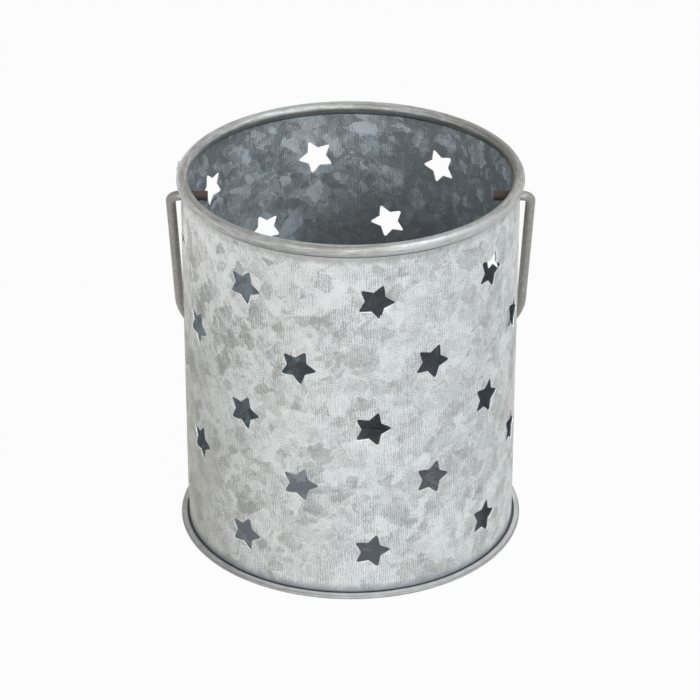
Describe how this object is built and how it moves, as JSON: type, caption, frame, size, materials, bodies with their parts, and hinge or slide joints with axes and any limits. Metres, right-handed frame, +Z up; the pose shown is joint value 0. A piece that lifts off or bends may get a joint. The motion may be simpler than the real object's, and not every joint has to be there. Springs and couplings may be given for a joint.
{
  "type": "punched tin lantern",
  "caption": "Small open candle lantern: a galvanised sheet can punched with rows of stars, with a wired rim, a seamed base and a swinging wire bail.",
  "frame": {"origin": "centre of the base's underside, on the axis of the can", "axes": "+Z up along the axis of the can, -Y towards the pictured front, +X along the bail's pivot axis to the right"},
  "size_m": [0.0986, 0.0951, 0.1046],
  "materials": {
    "galvanised_sheet": "hot-dip zinc, dull spangle",
    "galvanised_base": "hot-dip zinc, satin",
    "rim_wire_steel": "drawn wire",
    "galvanised_wire": "zinc-coated drawn wire, weathered"
  },
  "bodies": {
    "lantern": {"shell": "galvanised_sheet", "rim_wire": "rim_wire_steel", "base_pan": "galvanised_base"},
    "bail": {"bail_handle": "galvanised_wire"}
  },
  "joints": [
    {"name": "bail_swing", "type": "hinge", "parent": "lantern", "child": "bail", "pos_m": [0, 0, 0.09717], "axis": [1, 0, 0], "range_deg": [0, 294.5]}
  ]
}
